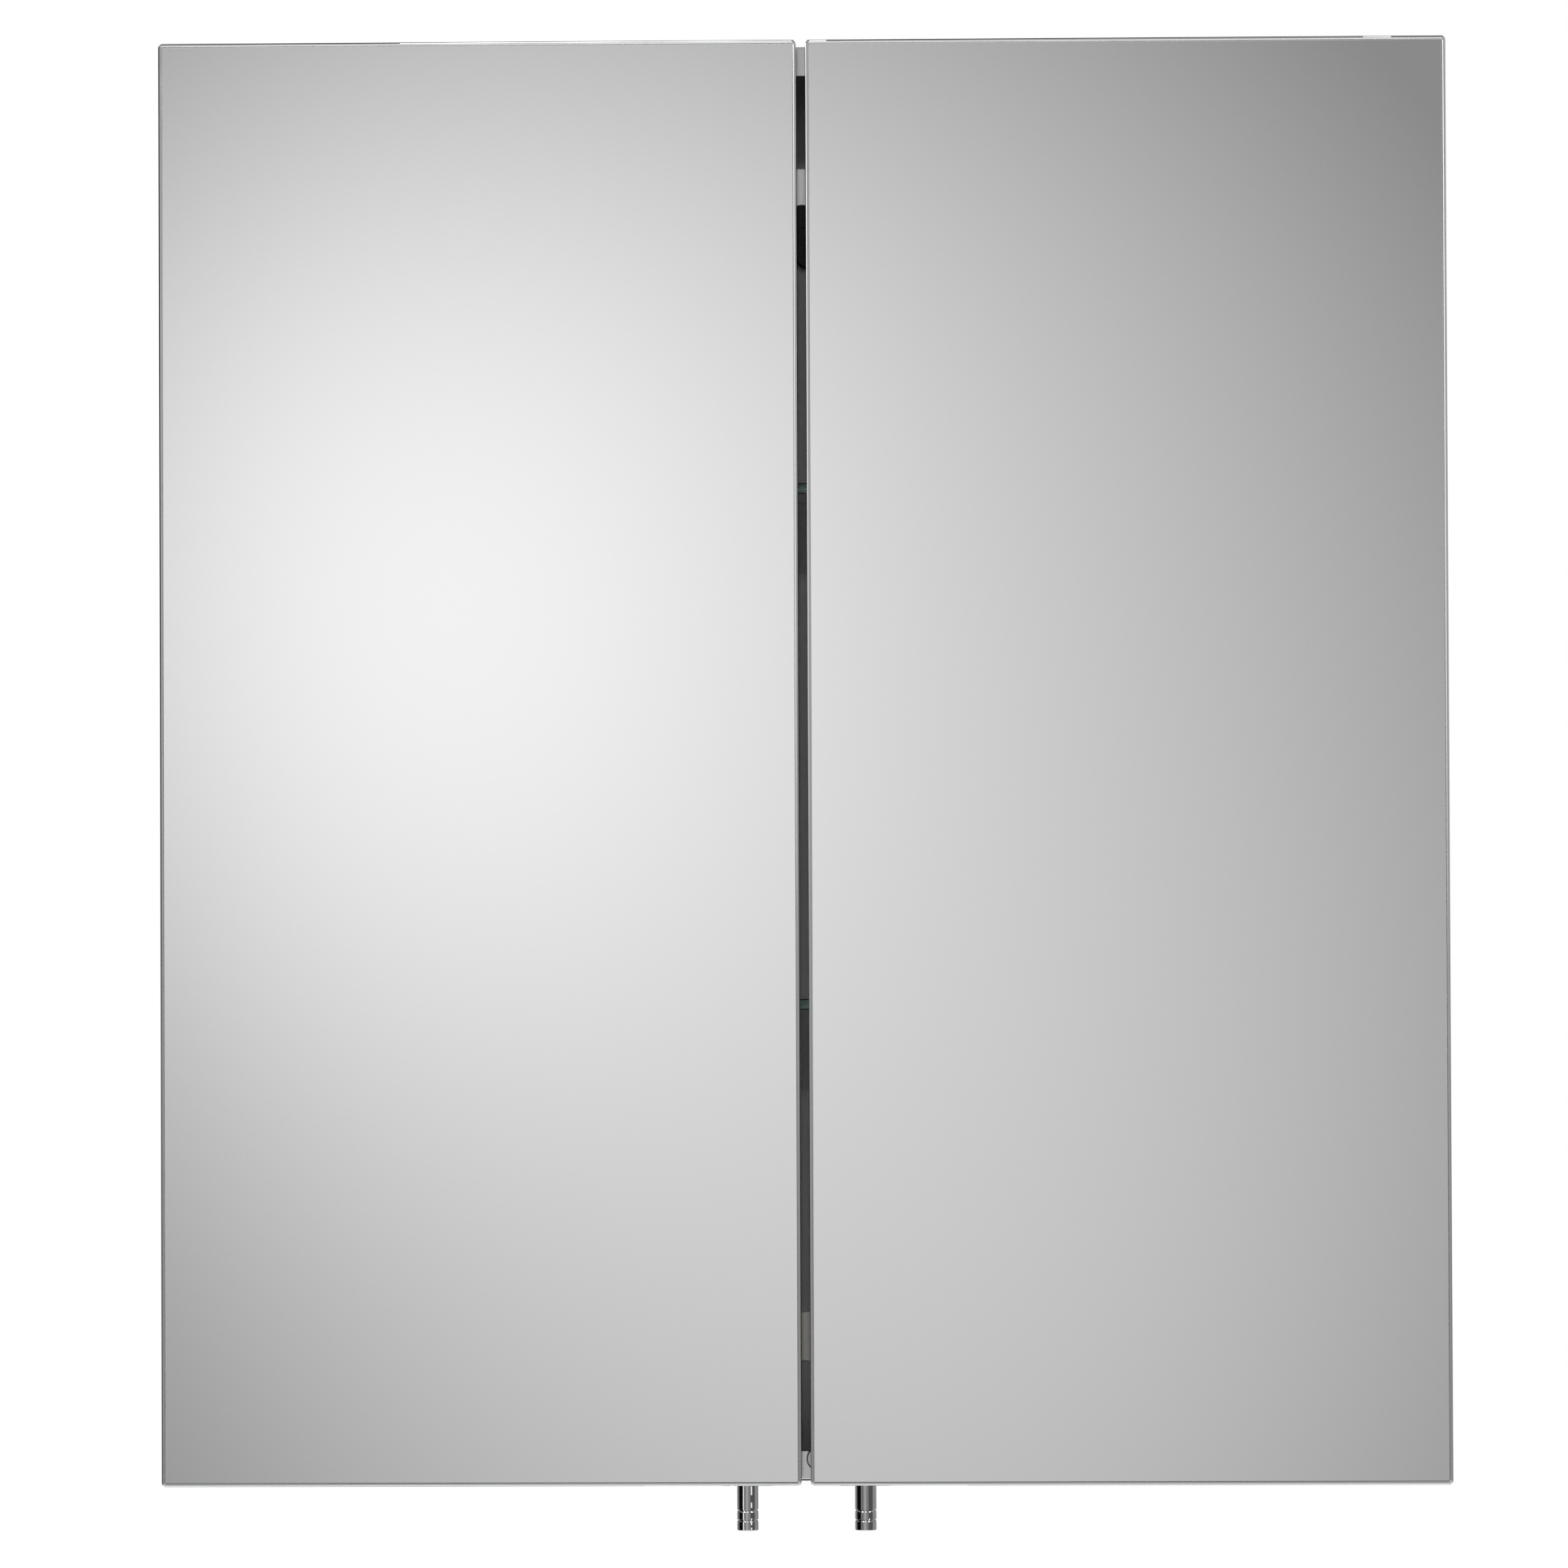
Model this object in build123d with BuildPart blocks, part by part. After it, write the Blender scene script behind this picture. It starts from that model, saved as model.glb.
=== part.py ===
from build123d import *
import os

# Double-door mirrored cabinet: folded stainless carcass, two glass shelves, two mirrored doors on
# continuous hinges, a knob under each door, and a wall bracket with a quarter-turn lock.
# The wall is the plane y = 0, the doors face -Y, and z = 0 is the line of the wall screws.
# A depth is measured from the wall towards the room, so a depth d lies at y = -d.

# Overall sizes
WIDTH = 600.0  # across both closed doors
HEIGHT = 673.0  # doors and carcass
DEPTH = 120.0  # wall to door front
HANG_DROP = 81.5  # top edge down to the wall screws
DOOR_GAP = 4.2  # between the two doors
DOOR_OVERHANG = 2.75  # door edge past the carcass side

# Folded stainless sheet
SHEET = 0.8
BEND_INSIDE_R = 0.4
FRONT_FLANGE = 13.8
REAR_FLANGE = 12.0
BACK_INSET = 12.0  # wall to the rear face of the back panel
TRAY_FIT = 0.1  # back panel rim to the carcass walls

# Wall bracket, its lock lever and the lower spacer
WINDOW_W = 34.0
WINDOW_TOP = 33.0  # above the wall screws
WINDOW_BOTTOM = 11.5  # below the wall screws
WINDOW_R = 4.0
BRACKET_W = 100.0
BRACKET_MARGIN = 8.0  # bracket plate past its boss, above and below
BRACKET_T = 4.0
BRACKET_R = 6.0
BOSS_SIDE_GAP = 0.5
BOSS_DROP_GAP = 1.0
BOSS_PROUD = 0.2
WALL_SCREW_SPACING = 72.0
WALL_SCREW_HOLE_R = 2.75
WALL_SCREW_HEAD_R = 5.0
COUNTERSINK_ANGLE = 90.0
LEVER_L = 31.0
LEVER_W = 12.0
LEVER_T = 6.0
LEVER_TILT = 8.0  # its top to the left of upright, as it is left
LEVER_AIR = 0.3
LEVER_EDGE_R = 1.5
PIVOT_R = 2.5
PIVOT_CLEARANCE = 0.05
PIVOT_DEPTH = 8.0  # into the boss
PIVOT_HEAD_R = 4.0
PIVOT_HEAD_T = 1.6
PIVOT_HEAD_AIR = 0.2
SPACER_HEIGHT = 61.5  # hole centre above the bottom edge
SPACER_HOLE_R = 12.0
SPACER_FIT = 0.2
SPACER_FLANGE_R = 16.0
SPACER_FLANGE_T = 2.0

# Glass shelves on clips with soft pads
SHELF_T = 5.0
SHELF_HEIGHTS = {"lower": 220.5, "upper": 463.0}  # undersides above the bottom edge
SHELF_SIDE_GAP = 1.5
SHELF_REAR_GAP = 1.5
SHELF_FRONT_GAP = 4.0
SHELF_CORNER_R = 3.0
SHELF_ARRIS = 0.5
CLIP_T = 1.0
CLIP_BEND_R = 0.8
CLIP_REACH = 13.0
CLIP_DROP = 18.0
CLIP_W = 16.0
CLIP_SETBACK = 16.0  # clip centre from the front and rear edges of a shelf
PAD_T = 1.0
PAD_MARGIN = 1.5

# Continuous hinges
PIN_R = 1.0
PIN_CLEARANCE = 0.05
PIN_CHAMFER = 0.3
KNUCKLE_WALL = 0.95
KNUCKLE_AIR = 0.3  # knuckle to the panels beside it
KNUCKLE_GAP = 0.3  # between neighbouring knuckles
KNUCKLE_COUNT = 21
LEAF_T = 0.9
LEAF_W = 12.0
HINGE_END_GAP = 15.0  # hinge end to the top and bottom edges
RIVET_COUNT = 8  # in each leaf
RIVET_OFFSET = 7.5  # hinge axis to the rivet line
RIVET_END = 25.0  # hinge end to the first rivet
RIVET_R = 1.4
RIVET_FIT = 0.05
RIVET_HEAD_R = 2.6
RIVET_HEAD_T = 0.8
RIVET_TAIL_R = 2.2
RIVET_TAIL_T = 1.2

# Doors
MIRROR_T = 4.0
MIRROR_ARRIS = 0.2
MIRROR_CORNER_R = 0.5
HEM_PROUD = 0.6  # hem past the front of the glass
HEM_FIT = 0.1  # hem to the glass that it frames
HEM_FLAT = 0.1  # left between the two rounded edges of the hem
TAPE_T = 1.0
TAPE_W = 25.0
TAPE_COUNT = 4
TAPE_END = 30.0
PAN_DEPTH = 14.4
PAN_EDGE_INSIDE_R = 0.8
PAN_CORNER_INSIDE_R = 1.2
PAN_RETURN = 16.0
PAN_RETURN_R = 3.0
LINER_GAP = 0.5
STIFFENER_W = 40.0
STIFFENER_END = 40.0
LINER_SCREW_R = 1.4
LINER_SCREW_FIT = 0.1
LINER_SCREW_L = 6.0
LINER_SCREW_HEAD_R = 2.8
LINER_SCREW_HEAD_T = 1.6
LINER_SCREW_COLUMNS = (-90.0, 90.0)  # from the door's middle, along its top and bottom
LINER_SCREW_ROWS = (-260.0, -95.0, 95.0, 260.0)  # from the door's middle, along its free edge
RECESS_L = 3.0
RECESS_W = 0.6
RECESS_DEPTH = 0.8

# Knobs under the doors
KNOB_R = 5.0
KNOB_L = 21.8
KNOB_INSET = 25.4  # from the free edge of its door
KNOB_EDGE_R = 0.6
GROOVE_HEIGHTS = (9.3, 4.8)  # above the lower end
GROOVE_W = 1.0
GROOVE_DEPTH = 0.45
KNOB_SCREW_R = 1.95
KNOB_SCREW_FIT = 0.05
KNOB_SCREW_REACH = 9.0  # into the knob
KNOB_SCREW_END_GAP = 1.0
KNOB_SCREW_HEAD_R = 3.8
KNOB_SCREW_HEAD_T = 2.6
KNOB_SOCKET_R = 1.5
KNOB_SOCKET_DEPTH = 1.4
WASHER_R = 4.5
WASHER_T = 0.8

# Magnetic catches and bumpers
UPPER_CATCH_OFFSET = 8.0  # from the middle of the cabinet
LOWER_CATCH_OFFSET = 5.3
CATCH_INSET = 10.5  # from the top or bottom edge
CUP_R = 5.5
CUP_WALL = 0.5
CUP_FLOOR = 0.7
CUP_STEM_R = 2.0
CUP_STEM_FIT = 0.1
CUP_STEM_L = 3.0  # behind the flange
MAGNET_FIT = 0.1
CATCH_AIR = 0.3  # cup to strike plate
NUT_R = 4.5
NUT_T = 0.6
STRIKE_T = 1.2
STRIKE_L = 22.0
STRIKE_W = 9.0
STRIKE_R = 1.5
STRIKE_EDGE_GAP = 1.0
BUMPER_R = 4.5
BUMPER_OFFSET = 40.0  # from the middle of the cabinet
BUMPER_AIR = 0.3
BUMPER_EDGE_R = 1.8

# Levels and planes that follow from these sizes
TOP_Z = HANG_DROP
BOTTOM_Z = TOP_Z - HEIGHT
MID_Z = (TOP_Z + BOTTOM_Z) / 2
MIRROR_FRONT = DEPTH - HEM_PROUD
MIRROR_REAR = MIRROR_FRONT - MIRROR_T
PAN_FRONT = MIRROR_REAR - TAPE_T
DOOR_REAR = PAN_FRONT - PAN_DEPTH
LINER_REAR = DOOR_REAR + SHEET
LINER_FRONT = LINER_REAR + SHEET
HEM_W = 2 * SHEET  # sheet folded flat on itself
KNUCKLE_R = PIN_R + PIN_CLEARANCE + KNUCKLE_WALL
LEAF_SEAT = KNUCKLE_R + KNUCKLE_AIR
HINGE_DEPTH = DOOR_REAR - LEAF_SEAT
CARCASS_DEPTH = HINGE_DEPTH - LEAF_SEAT
SEAM = DOOR_REAR - CARCASS_DEPTH
SIDE_X = WIDTH / 2 - DOOR_OVERHANG
INNER_X = SIDE_X - SHEET
HINGE_X = SIDE_X
HINGE_L = HEIGHT - 2 * HINGE_END_GAP
HINGE_BOTTOM_Z = BOTTOM_Z + HINGE_END_GAP
KNUCKLE_PITCH = HINGE_L / KNUCKLE_COUNT
BACK_FRONT = BACK_INSET + SHEET
SPACER_Z = BOTTOM_Z + SPACER_HEIGHT
DOOR_W = (WIDTH - DOOR_GAP) / 2
DOOR_X = (WIDTH + DOOR_GAP) / 4
FREE_EDGE_X = DOOR_GAP / 2
KNOB_X = FREE_EDGE_X + KNOB_INSET
KNOB_DEPTH = (DOOR_REAR + PAN_FRONT) / 2


def save(part, label):
    """Name a finished piece and write it."""
    part.label = label
    export_step(part, f"parts/{label}.step")


def save_pair(right, name):
    """Write a right-hand piece and its mirror image across the middle of the cabinet."""
    with BuildPart() as left:
        mirror(right, about=Plane.YZ)
    save(right, f"{name}_right")
    save(left.part, f"{name}_left")


def turned(points, steps):
    """Round pieces along the depth, one at each (x, z) point; a step is (near depth, far depth, radius)."""
    with BuildPart() as pieces:
        for near, far, radius in steps:
            with BuildSketch(Plane.XZ.offset(near)):
                with Locations(*points):
                    Circle(radius)
            extrude(amount=far - near)
    return pieces.part


def drill(points, near, far, radius):
    """Cut round holes along the depth in the piece being built."""
    with BuildSketch(Plane.XZ.offset(near), mode=Mode.PRIVATE) as holes:
        with Locations(*points):
            Circle(radius)
    extrude(holes.sketch, amount=far - near, mode=Mode.SUBTRACT)


def spread(first, last, count):
    """Evenly spaced values from first to last."""
    return [first + (last - first) * step / (count - 1) for step in range(count)]


def folded_panel(start, inward, along, length):
    """Channel-shaped carcass panel with a front and a rear flange and mitred ends."""
    with BuildPart() as panel:
        with BuildSketch(Plane(origin=start, x_dir=inward, z_dir=along)):
            with BuildLine():
                outside = FilletPolyline(
                    (REAR_FLANGE, 0),
                    (0, 0),
                    (0, CARCASS_DEPTH),
                    (FRONT_FLANGE, CARCASS_DEPTH),
                    radius=BEND_INSIDE_R + SHEET,
                )
                inside = FilletPolyline(
                    (REAR_FLANGE, SHEET),
                    (SHEET, SHEET),
                    (SHEET, CARCASS_DEPTH - SHEET),
                    (FRONT_FLANGE, CARCASS_DEPTH - SHEET),
                    radius=BEND_INSIDE_R,
                )
                Line(outside @ 0, inside @ 0)
                Line(outside @ 1, inside @ 1)
            make_face()
        extrude(amount=length)
        split(bisect_by=Plane(origin=start, z_dir=along - inward), keep=Keep.TOP)
        split(bisect_by=Plane(origin=start + along * length, z_dir=-along - inward), keep=Keep.TOP)
    return panel.part


os.makedirs("parts", exist_ok=True)

# Points shared by pieces that line up
rivet_points = [
    (HINGE_X - RIVET_OFFSET, z)
    for z in spread(HINGE_BOTTOM_Z + RIVET_END, HINGE_BOTTOM_Z + HINGE_L - RIVET_END, RIVET_COUNT)
]
upper_catch_point = (-UPPER_CATCH_OFFSET, TOP_Z - CATCH_INSET)
lower_catch_point = (LOWER_CATCH_OFFSET, BOTTOM_Z + CATCH_INSET)
catch_points = [upper_catch_point, lower_catch_point]
liner_screw_points = [
    (DOOR_X + column, edge)
    for column in LINER_SCREW_COLUMNS
    for edge in (TOP_Z - PAN_RETURN / 2, BOTTOM_Z + PAN_RETURN / 2)
] + [(FREE_EDGE_X + PAN_RETURN / 2, MID_Z + row) for row in LINER_SCREW_ROWS]

# Carcass panels
right = Vector(1, 0, 0)
up = Vector(0, 0, 1)
corner = {
    "bottom_left": Vector(-SIDE_X, 0, BOTTOM_Z),
    "bottom_right": Vector(SIDE_X, 0, BOTTOM_Z),
    "top_right": Vector(SIDE_X, 0, TOP_Z),
}

with BuildPart() as side_panel:
    add(folded_panel(corner["bottom_right"], -right, up, HEIGHT))
    drill(rivet_points, CARCASS_DEPTH - SHEET, CARCASS_DEPTH, RIVET_R + RIVET_FIT)
save_pair(side_panel.part, "side_panel")

with BuildPart() as top_panel:
    add(folded_panel(corner["top_right"], -up, -right, 2 * SIDE_X))
    drill([upper_catch_point], CARCASS_DEPTH - SHEET, CARCASS_DEPTH, CUP_STEM_R + CUP_STEM_FIT)
save(top_panel.part, "top_panel")

with BuildPart() as bottom_panel:
    add(folded_panel(corner["bottom_left"], up, right, 2 * SIDE_X))
    drill([lower_catch_point], CARCASS_DEPTH - SHEET, CARCASS_DEPTH, CUP_STEM_R + CUP_STEM_FIT)
save(bottom_panel.part, "bottom_panel")

# Back panel: a shallow tray whose rim is folded back towards the wall
tray_w = 2 * (INNER_X - TRAY_FIT)
tray_h = HEIGHT - 2 * (SHEET + TRAY_FIT)
tray_rear = SHEET + BEND_INSIDE_R
with BuildPart() as back_panel:
    with BuildSketch(Plane.XZ.offset(tray_rear)):
        with Locations((0, MID_Z)):
            Rectangle(tray_w, tray_h)
    extrude(amount=BACK_FRONT - tray_rear)
    fillet(back_panel.faces().sort_by(Axis.Y)[0].edges(), radius=BEND_INSIDE_R + SHEET)
    with BuildSketch(Plane.XZ.offset(tray_rear)):
        with Locations((0, MID_Z)):
            Rectangle(tray_w - 2 * SHEET, tray_h - 2 * SHEET)
    extrude(amount=BACK_INSET - tray_rear, mode=Mode.SUBTRACT)
    with BuildSketch(Plane.XZ.offset(BACK_INSET)):
        with Locations((0, (WINDOW_TOP - WINDOW_BOTTOM) / 2)):
            RectangleRounded(WINDOW_W, WINDOW_TOP + WINDOW_BOTTOM, WINDOW_R)
        with Locations((0, SPACER_Z)):
            Circle(SPACER_HOLE_R)
    extrude(amount=SHEET, mode=Mode.SUBTRACT)
save(back_panel.part, "back_panel")

# Wall bracket: the top of its boss carries the top edge of the window in the back panel
boss_h = WINDOW_TOP + WINDOW_BOTTOM - BOSS_DROP_GAP
boss_z = WINDOW_TOP - boss_h / 2
boss_front = BACK_FRONT + BOSS_PROUD
with BuildPart() as wall_bracket:
    with BuildSketch(Plane.XZ):
        with Locations((0, boss_z)):
            RectangleRounded(BRACKET_W, boss_h + 2 * BRACKET_MARGIN, BRACKET_R)
    extrude(amount=BRACKET_T)
    with BuildSketch(Plane.XZ.offset(BRACKET_T)):
        with Locations((0, boss_z)):
            RectangleRounded(WINDOW_W - 2 * BOSS_SIDE_GAP, boss_h, WINDOW_R)
    extrude(amount=boss_front - BRACKET_T)
    with Locations(Plane.XZ.offset(BRACKET_T)):
        with GridLocations(WALL_SCREW_SPACING, 0, 2, 1):
            CounterSinkHole(WALL_SCREW_HOLE_R, WALL_SCREW_HEAD_R, BRACKET_T, COUNTERSINK_ANGLE)
    drill([(0, 0)], boss_front - PIVOT_DEPTH, boss_front, PIVOT_R + PIVOT_CLEARANCE)
save(wall_bracket.part, "wall_bracket")

# Lock lever on its pivot: upright it laps the panel below the window, level it fits the window
lever_rear = boss_front + LEVER_AIR
lever_front = lever_rear + LEVER_T
head_seat_depth = PIVOT_HEAD_T + PIVOT_HEAD_AIR
with BuildPart() as lock_lever:
    with BuildSketch(Plane.XZ.offset(lever_rear)):
        SlotOverall(LEVER_L, LEVER_W, rotation=90 + LEVER_TILT)
    extrude(amount=LEVER_T)
    fillet(lock_lever.faces().sort_by(Axis.Y)[0].edges(), radius=LEVER_EDGE_R)
    with Locations(Plane.XZ.offset(lever_front)):
        CounterBoreHole(
            PIVOT_R + PIVOT_CLEARANCE, PIVOT_HEAD_R + PIVOT_HEAD_AIR, head_seat_depth, LEVER_T
        )
save(lock_lever.part, "lock_lever")

lock_pivot = turned(
    [(0, 0)],
    [
        (boss_front - PIVOT_DEPTH, lever_front - PIVOT_HEAD_T, PIVOT_R),
        (lever_front - PIVOT_HEAD_T, lever_front, PIVOT_HEAD_R),
    ],
)
save(lock_pivot, "lock_pivot")

# Lower spacer: fills the lower hole and rests on the wall
wall_spacer = turned(
    [(0, SPACER_Z)],
    [
        (0, boss_front, SPACER_HOLE_R - SPACER_FIT),
        (BACK_INSET - SPACER_FLANGE_T, BACK_INSET, SPACER_FLANGE_R),
    ],
)
save(wall_spacer, "wall_spacer")

# Glass shelves
shelf_rear = BACK_FRONT + SHELF_REAR_GAP
shelf_front = CARCASS_DEPTH - SHEET - SHELF_FRONT_GAP
for level, height in SHELF_HEIGHTS.items():
    with BuildPart() as glass_shelf:
        with BuildSketch(Plane.XY.offset(BOTTOM_Z + height)):
            with Locations((0, -(shelf_rear + shelf_front) / 2)):
                RectangleRounded(
                    2 * (INNER_X - SHELF_SIDE_GAP), shelf_front - shelf_rear, SHELF_CORNER_R
                )
        extrude(amount=SHELF_T)
        chamfer(glass_shelf.faces().filter_by(Axis.Z).edges(), length=SHELF_ARRIS)
    save(glass_shelf.part, f"glass_shelf_{level}")

# Shelf clips welded to the carcass sides, and their pads
clip_depths = (shelf_rear + CLIP_SETBACK, shelf_front - CLIP_SETBACK)
with BuildPart() as shelf_clips:
    for height in SHELF_HEIGHTS.values():
        clip_top = BOTTOM_Z + height - PAD_T
        for depth in clip_depths:
            with BuildSketch(Plane.XZ.offset(depth - CLIP_W / 2)):
                with BuildLine():
                    outside = FilletPolyline(
                        (INNER_X, clip_top - CLIP_DROP),
                        (INNER_X, clip_top),
                        (INNER_X - CLIP_REACH, clip_top),
                        radius=CLIP_BEND_R + CLIP_T,
                    )
                    inside = FilletPolyline(
                        (INNER_X - CLIP_T, clip_top - CLIP_DROP),
                        (INNER_X - CLIP_T, clip_top - CLIP_T),
                        (INNER_X - CLIP_REACH, clip_top - CLIP_T),
                        radius=CLIP_BEND_R,
                    )
                    Line(outside @ 0, inside @ 0)
                    Line(outside @ 1, inside @ 1)
                make_face()
            extrude(amount=CLIP_W)
save_pair(shelf_clips.part, "shelf_clips")

pad_reach = CLIP_REACH - CLIP_T - CLIP_BEND_R - 2 * PAD_MARGIN
with BuildPart() as shelf_pads:
    for height in SHELF_HEIGHTS.values():
        with BuildSketch(Plane.XY.offset(BOTTOM_Z + height - PAD_T)):
            for depth in clip_depths:
                with Locations((INNER_X - CLIP_REACH + PAD_MARGIN + pad_reach / 2, -depth)):
                    Rectangle(pad_reach, CLIP_W - 2 * PAD_MARGIN)
        extrude(amount=PAD_T)
save_pair(shelf_pads.part, "shelf_pads")


# Continuous hinges
def hinge_leaf(wall_side, knuckles):
    """Right-hand leaf: wall_side is 1 for the leaf on the carcass and -1 for the one on the door."""
    leaf_y = -HINGE_DEPTH + wall_side * (LEAF_SEAT - LEAF_T / 2)
    strip_start = KNUCKLE_R + KNUCKLE_AIR
    with BuildPart() as leaf:
        with BuildSketch(Plane.XY.offset(HINGE_BOTTOM_Z)):
            with Locations((HINGE_X - (LEAF_W + strip_start) / 2, leaf_y)):
                Rectangle(LEAF_W - strip_start, LEAF_T)
        extrude(amount=HINGE_L)
        for index in knuckles:
            with BuildSketch(Plane.XY.offset(HINGE_BOTTOM_Z + index * KNUCKLE_PITCH + KNUCKLE_GAP / 2)):
                with Locations((HINGE_X - strip_start / 2, leaf_y)):
                    Rectangle(strip_start, LEAF_T)
                with Locations((HINGE_X, -HINGE_DEPTH)):
                    Circle(KNUCKLE_R)
                    Circle(PIN_R + PIN_CLEARANCE, mode=Mode.SUBTRACT)
            extrude(amount=KNUCKLE_PITCH - KNUCKLE_GAP)
        drill(rivet_points, CARCASS_DEPTH, DOOR_REAR, RIVET_R + RIVET_FIT)
    return leaf.part


save_pair(hinge_leaf(1, range(0, KNUCKLE_COUNT, 2)), "hinge_leaf_carcass")
save_pair(hinge_leaf(-1, range(1, KNUCKLE_COUNT, 2)), "hinge_leaf_door")

with BuildPart() as hinge_pin:
    with BuildSketch(Plane.XY.offset(HINGE_BOTTOM_Z)):
        with Locations((HINGE_X, -HINGE_DEPTH)):
            Circle(PIN_R)
    extrude(amount=HINGE_L)
    chamfer(hinge_pin.faces().filter_by(Axis.Z).edges(), length=PIN_CHAMFER)
save_pair(hinge_pin.part, "hinge_pin")

carcass_grip = (CARCASS_DEPTH - SHEET, CARCASS_DEPTH + LEAF_T)
carcass_rivets = turned(
    rivet_points,
    [
        (carcass_grip[0] - RIVET_TAIL_T, carcass_grip[0], RIVET_TAIL_R),
        (*carcass_grip, RIVET_R),
        (carcass_grip[1], carcass_grip[1] + RIVET_HEAD_T, RIVET_HEAD_R),
    ],
)
save_pair(carcass_rivets, "hinge_rivets_carcass")

door_grip = (DOOR_REAR - LEAF_T, LINER_FRONT)
door_rivets = turned(
    rivet_points,
    [
        (door_grip[0] - RIVET_HEAD_T, door_grip[0], RIVET_HEAD_R),
        (*door_grip, RIVET_R),
        (door_grip[1], door_grip[1] + RIVET_TAIL_T, RIVET_TAIL_R),
    ],
)
save_pair(door_rivets, "hinge_rivets_door")

# Magnetic catches: one moulded cup for each door, its magnet and its push nut
cup_front = DOOR_REAR - STRIKE_T - CATCH_AIR
with BuildPart() as catch_cups:
    add(
        turned(
            catch_points,
            [
                (CARCASS_DEPTH - SHEET - CUP_STEM_L, CARCASS_DEPTH, CUP_STEM_R),
                (CARCASS_DEPTH, cup_front, CUP_R),
            ],
        )
    )
    drill(catch_points, CARCASS_DEPTH + CUP_FLOOR, cup_front, CUP_R - CUP_WALL)
save(catch_cups.part, "catch_cups")

magnets = turned(
    catch_points, [(CARCASS_DEPTH + CUP_FLOOR, cup_front - MAGNET_FIT, CUP_R - CUP_WALL - MAGNET_FIT)]
)
save(magnets, "catch_magnets")

with BuildPart() as catch_nuts:
    add(turned(catch_points, [(CARCASS_DEPTH - SHEET - NUT_T, CARCASS_DEPTH - SHEET, NUT_R)]))
    drill(
        catch_points,
        CARCASS_DEPTH - SHEET - NUT_T,
        CARCASS_DEPTH - SHEET,
        CUP_STEM_R + CUP_STEM_FIT,
    )
save(catch_nuts.part, "catch_nuts")

# Clear bumpers on the top and bottom flanges
with BuildPart() as door_bumpers:
    for edge_z in (TOP_Z - FRONT_FLANGE / 2, BOTTOM_Z + FRONT_FLANGE / 2):
        with BuildSketch(Plane.XZ.offset(CARCASS_DEPTH)):
            with Locations((-BUMPER_OFFSET, edge_z), (BUMPER_OFFSET, edge_z)):
                Circle(BUMPER_R)
        extrude(amount=SEAM - BUMPER_AIR)
    fillet(door_bumpers.faces().group_by(Axis.Y)[0].edges(), radius=BUMPER_EDGE_R)
save(door_bumpers.part, "door_bumpers")

# Door pan: front skin, four walls with a hem that frames the glass, and a return flange at the rear
cavity_depth = PAN_DEPTH - 2 * SHEET
with BuildPart() as pan_cavity:
    with BuildSketch(Plane.XZ.offset(LINER_REAR)):
        with Locations((DOOR_X, MID_Z)):
            RectangleRounded(DOOR_W - 2 * SHEET, HEIGHT - 2 * SHEET, PAN_CORNER_INSIDE_R)
    extrude(amount=cavity_depth)
    fillet(pan_cavity.faces().sort_by(Axis.Y)[0].edges(), radius=PAN_EDGE_INSIDE_R)

with BuildPart() as door_pan:
    with BuildSketch(Plane.XZ.offset(DOOR_REAR)):
        with Locations((DOOR_X, MID_Z)):
            RectangleRounded(DOOR_W, HEIGHT, PAN_CORNER_INSIDE_R + SHEET)
    extrude(amount=DEPTH - DOOR_REAR)
    with BuildSketch(Plane.XZ.offset(PAN_FRONT)):
        with Locations((DOOR_X, MID_Z)):
            RectangleRounded(DOOR_W - 2 * HEM_W, HEIGHT - 2 * HEM_W, MIRROR_CORNER_R + HEM_FIT)
    extrude(amount=DEPTH - PAN_FRONT, mode=Mode.SUBTRACT)
    fillet(door_pan.faces().sort_by(Axis.Y)[0].edges(), radius=(HEM_W - HEM_FLAT) / 2)
    add(pan_cavity.part, mode=Mode.SUBTRACT)
    with BuildSketch(Plane.XZ.offset(DOOR_REAR)):
        with Locations((DOOR_X, MID_Z)):
            RectangleRounded(DOOR_W - 2 * PAN_RETURN, HEIGHT - 2 * PAN_RETURN, PAN_RETURN_R)
    extrude(amount=SHEET, mode=Mode.SUBTRACT)
    drill(rivet_points, DOOR_REAR, LINER_REAR, RIVET_R + RIVET_FIT)
    drill(liner_screw_points, DOOR_REAR, LINER_REAR, LINER_SCREW_R + LINER_SCREW_FIT)
    with BuildSketch(Plane.XY.offset(BOTTOM_Z)):
        with Locations((KNOB_X, -KNOB_DEPTH)):
            Circle(KNOB_SCREW_R + KNOB_SCREW_FIT)
    extrude(amount=SHEET, mode=Mode.SUBTRACT)
save_pair(door_pan.part, "door_pan")

# Inner liner, screwed to the return flange
with BuildPart() as door_liner:
    with BuildSketch(Plane.XZ.offset(LINER_REAR)):
        with Locations((DOOR_X, MID_Z)):
            RectangleRounded(
                DOOR_W - 2 * (SHEET + LINER_GAP), HEIGHT - 2 * (SHEET + LINER_GAP), PAN_CORNER_INSIDE_R
            )
    extrude(amount=SHEET)
    drill(rivet_points, LINER_REAR, LINER_FRONT, RIVET_R + RIVET_FIT)
    drill(liner_screw_points, LINER_REAR, LINER_FRONT, LINER_SCREW_R + LINER_SCREW_FIT)
save_pair(door_liner.part, "door_liner")

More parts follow.
